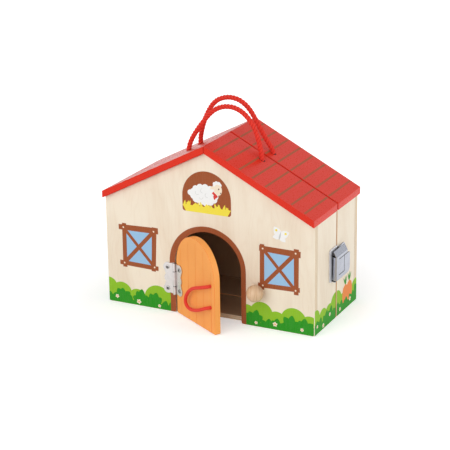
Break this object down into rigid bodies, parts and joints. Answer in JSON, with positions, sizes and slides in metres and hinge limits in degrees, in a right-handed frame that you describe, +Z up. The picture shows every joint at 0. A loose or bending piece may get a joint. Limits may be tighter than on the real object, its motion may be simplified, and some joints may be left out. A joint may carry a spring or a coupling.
{
  "type": "toy farm playset",
  "caption": "Carry-along wooden toy farm house: two hinged half-houses with a latch, an arched hinged door with a loop and ball knob, and rope handles.",
  "frame": {"origin": "middle of the front half's floor, on its underside, which rests on the ground", "axes": "+Z up, -Y towards the front with the doorway, +X towards the latch"},
  "size_m": [0.2918, 0.1849, 0.2624],
  "materials": {
    "birch": "pale birch plywood with clear satin varnish",
    "red_paint": "satin red paint on board",
    "orange_paint": "satin orange paint on board",
    "beech": "turned and varnished",
    "nickel": "nickel-plated stamped steel",
    "red_cord": "twisted synthetic cord"
  },
  "bodies": {
    "front_half": {"front_wall": "birch", "front_left_side": "birch", "front_right_side": "birch", "front_floor": "birch", "front_roof_left": "red_paint", "front_roof_right": "red_paint", "front_rope": "red_cord", "front_rope_knot_left": "red_cord", "front_rope_knot_right": "red_cord", "door_knob": "beech", "door_knob_peg": "beech", "door_hinge_wall_leaf": "nickel", "door_hinge_pin": "nickel", "door_hinge_wall_screw_low": "nickel", "door_hinge_wall_screw_high": "nickel", "lower_hinge_front_leaf": "nickel", "lower_hinge_pin": "nickel", "lower_hinge_front_screw_low": "nickel", "lower_hinge_front_screw_high": "nickel", "upper_hinge_front_leaf": "nickel", "upper_hinge_pin": "nickel", "upper_hinge_front_screw_low": "nickel", "upper_hinge_front_screw_high": "nickel", "latch_base": "nickel", "latch_base_rivet_low": "nickel", "latch_base_rivet_high": "nickel", "latch_lever_pin": "nickel"},
    "rear_half": {"rear_wall": "birch", "rear_left_side": "birch", "rear_right_side": "birch", "rear_floor": "birch", "rear_roof_left": "red_paint", "rear_roof_right": "red_paint", "rear_rope": "red_cord", "rear_rope_knot_left": "red_cord", "rear_rope_knot_right": "red_cord", "lower_hinge_rear_leaf": "nickel", "lower_hinge_rear_screw_low": "nickel", "lower_hinge_rear_screw_high": "nickel", "upper_hinge_rear_leaf": "nickel", "upper_hinge_rear_screw_low": "nickel", "upper_hinge_rear_screw_high": "nickel", "latch_strike": "nickel", "latch_strike_rivet_low": "nickel", "latch_strike_rivet_high": "nickel"},
    "door": {"door": "orange_paint", "door_hinge_door_leaf": "nickel", "door_hinge_door_screw_low": "nickel", "door_hinge_door_screw_high": "nickel", "door_loop": "red_cord"},
    "latch_lever": {"latch_lever": "nickel"}
  },
  "joints": [
    {"name": "house_hinge", "type": "hinge", "parent": "front_half", "child": "rear_half", "pos_m": [-0.1422, 0.02945, 0.07], "axis": [0, 0, 1], "range_deg": [0, 180]},
    {"name": "door_hinge", "type": "hinge", "parent": "front_half", "child": "door", "pos_m": [-0.0448, -0.03875, 0.0448], "axis": [0, 0, -1], "range_deg": [-31, 119]},
    {"name": "latch_pivot", "type": "hinge", "parent": "front_half", "child": "latch_lever", "pos_m": [0.144, 0.01405, 0.06905], "axis": [0, 0, -1], "range_deg": [0, 90]}
  ]
}
